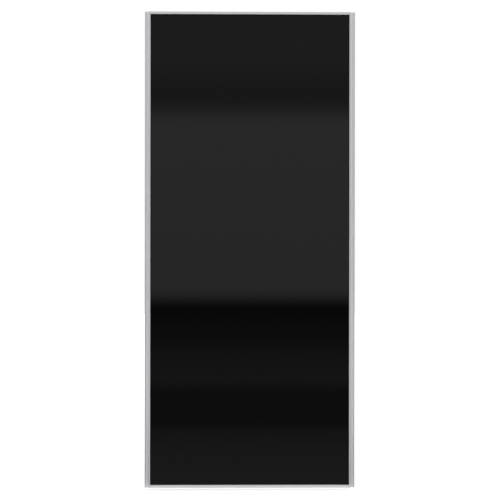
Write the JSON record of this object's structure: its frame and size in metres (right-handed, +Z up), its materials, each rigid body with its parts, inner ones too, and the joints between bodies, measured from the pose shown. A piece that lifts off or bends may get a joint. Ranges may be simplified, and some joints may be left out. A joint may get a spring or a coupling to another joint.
{
  "type": "sliding wardrobe door",
  "caption": "Tall sliding wardrobe door leaf: black glass in a slim silver frame with finger grooves down both edges, height-adjustable bottom rollers and slide-up top guides.",
  "frame": {"origin": "middle of the bottom edge of the leaf, halfway through its depth", "axes": "+X to the right seen from the front, +Y to the back, +Z up; the front faces -Y"},
  "size_m": [0.98, 0.036, 2.22],
  "materials": {
    "aluminium": "satin silver anodised",
    "black_glass": "polished, lacquered black on the back",
    "safety_film": "fine matt polyester film",
    "gasket_rubber": "matt black",
    "screw_steel": "bright zinc plated",
    "plated_steel": "zinc plated",
    "bearing_steel": "ground and polished",
    "black_nylon": "moulded, fine grain",
    "grey_nylon": "moulded, fine grain",
    "white_nylon": "natural nylon, smooth",
    "cage_nylon": "moulded nylon"
  },
  "bodies": {
    "door_leaf": {"top_rail": "aluminium", "bottom_rail": "aluminium", "glass_panel": "black_glass", "safety_film": "safety_film", "bottom_gasket": "gasket_rubber", "top_gasket": "gasket_rubber", "left_stile": "aluminium", "left_gasket": "gasket_rubber", "left_bottom_frame_screws": "screw_steel", "left_top_frame_screws": "screw_steel", "left_roller_housing": "black_nylon", "left_housing_screws": "screw_steel", "left_guide_bracket": "black_nylon", "left_guide_screws": "screw_steel", "right_stile": "aluminium", "right_gasket": "gasket_rubber", "right_bottom_frame_screws": "screw_steel", "right_top_frame_screws": "screw_steel", "right_roller_housing": "black_nylon", "right_housing_screws": "screw_steel", "right_guide_bracket": "black_nylon", "right_guide_screws": "screw_steel"},
    "left_lift_screw": {"left_lift_screw": "screw_steel"},
    "left_lift_nut": {"left_lift_nut": "plated_steel", "left_lift_pin": "plated_steel"},
    "left_carriage": {"left_roller_carriage": "plated_steel", "left_axle": "plated_steel", "left_bearing_inner_ring": "bearing_steel"},
    "left_balls": {"left_bearing_balls": "bearing_steel", "left_bearing_cage": "cage_nylon"},
    "left_wheel": {"left_wheel": "white_nylon", "left_bearing_outer_ring": "bearing_steel"},
    "left_catch": {"left_antijump_catch": "grey_nylon"},
    "left_guide": {"left_guide_slide": "grey_nylon", "left_guide_pin": "plated_steel"},
    "left_guide_wheel": {"left_guide_wheel": "white_nylon"},
    "right_lift_screw": {"right_lift_screw": "screw_steel"},
    "right_lift_nut": {"right_lift_nut": "plated_steel", "right_lift_pin": "plated_steel"},
    "right_carriage": {"right_roller_carriage": "plated_steel", "right_axle": "plated_steel", "right_bearing_inner_ring": "bearing_steel"},
    "right_balls": {"right_bearing_balls": "bearing_steel", "right_bearing_cage": "cage_nylon"},
    "right_wheel": {"right_wheel": "white_nylon", "right_bearing_outer_ring": "bearing_steel"},
    "right_catch": {"right_antijump_catch": "grey_nylon"},
    "right_guide": {"right_guide_slide": "grey_nylon", "right_guide_pin": "plated_steel"},
    "right_guide_wheel": {"right_guide_wheel": "white_nylon"}
  },
  "joints": [
    {"name": "left_lift_turn", "type": "hinge", "parent": "door_leaf", "child": "left_lift_screw", "pos_m": [-0.4594, 0.008, 0.03], "axis": [-1, 0, 0], "range_deg": [0, 7200]},
    {"name": "left_nut_slide", "type": "slide", "parent": "door_leaf", "child": "left_lift_nut", "axis": [1, 0, 0], "range_m": [0, 0.02]},
    {"name": "left_roller_lift", "type": "slide", "parent": "door_leaf", "child": "left_carriage", "axis": [0, 0, -1], "range_m": [0, 0.012]},
    {"name": "left_wheel_spin", "type": "hinge", "parent": "left_carriage", "child": "left_wheel", "pos_m": [-0.4098, 0.008, 0.015], "axis": [0, 1, 0], "continuous": true},
    {"name": "left_balls_orbit", "type": "hinge", "parent": "left_carriage", "child": "left_balls", "pos_m": [-0.4098, 0.008, 0.015], "axis": [0, 1, 0], "continuous": true},
    {"name": "left_catch_slide", "type": "slide", "parent": "door_leaf", "child": "left_catch", "axis": [0, 0, -1], "range_m": [0, 0.01]},
    {"name": "left_guide_lift", "type": "slide", "parent": "door_leaf", "child": "left_guide", "axis": [0, 0, 1], "range_m": [0, 0.012]},
    {"name": "left_guide_spin", "type": "hinge", "parent": "left_guide", "child": "left_guide_wheel", "pos_m": [-0.419, 0.008, 2.2102], "axis": [0, 0, 1], "continuous": true},
    {"name": "right_lift_turn", "type": "hinge", "parent": "door_leaf", "child": "right_lift_screw", "pos_m": [0.4594, 0.008, 0.03], "axis": [1, 0, 0], "range_deg": [0, 7200]},
    {"name": "right_nut_slide", "type": "slide", "parent": "door_leaf", "child": "right_lift_nut", "axis": [-1, 0, 0], "range_m": [0, 0.02]},
    {"name": "right_roller_lift", "type": "slide", "parent": "door_leaf", "child": "right_carriage", "axis": [0, 0, -1], "range_m": [0, 0.012]},
    {"name": "right_wheel_spin", "type": "hinge", "parent": "right_carriage", "child": "right_wheel", "pos_m": [0.4098, 0.008, 0.015], "axis": [0, 1, 0], "continuous": true},
    {"name": "right_balls_orbit", "type": "hinge", "parent": "right_carriage", "child": "right_balls", "pos_m": [0.4098, 0.008, 0.015], "axis": [0, 1, 0], "continuous": true},
    {"name": "right_catch_slide", "type": "slide", "parent": "door_leaf", "child": "right_catch", "axis": [0, 0, -1], "range_m": [0, 0.01]},
    {"name": "right_guide_lift", "type": "slide", "parent": "door_leaf", "child": "right_guide", "axis": [0, 0, 1], "range_m": [0, 0.012]},
    {"name": "right_guide_spin", "type": "hinge", "parent": "right_guide", "child": "right_guide_wheel", "pos_m": [0.419, 0.008, 2.2102], "axis": [0, 0, 1], "continuous": true}
  ],
  "couplings": [
    {"joint": "left_nut_slide", "follows": "left_roller_lift", "ratio": 1.6667},
    {"joint": "left_lift_turn", "follows": "left_roller_lift", "rad_per_m": 10472},
    {"joint": "left_balls_orbit", "follows": "left_wheel_spin", "ratio": 0.64},
    {"joint": "right_nut_slide", "follows": "right_roller_lift", "ratio": 1.6667},
    {"joint": "right_lift_turn", "follows": "right_roller_lift", "rad_per_m": 10472},
    {"joint": "right_balls_orbit", "follows": "right_wheel_spin", "ratio": 0.64}
  ]
}
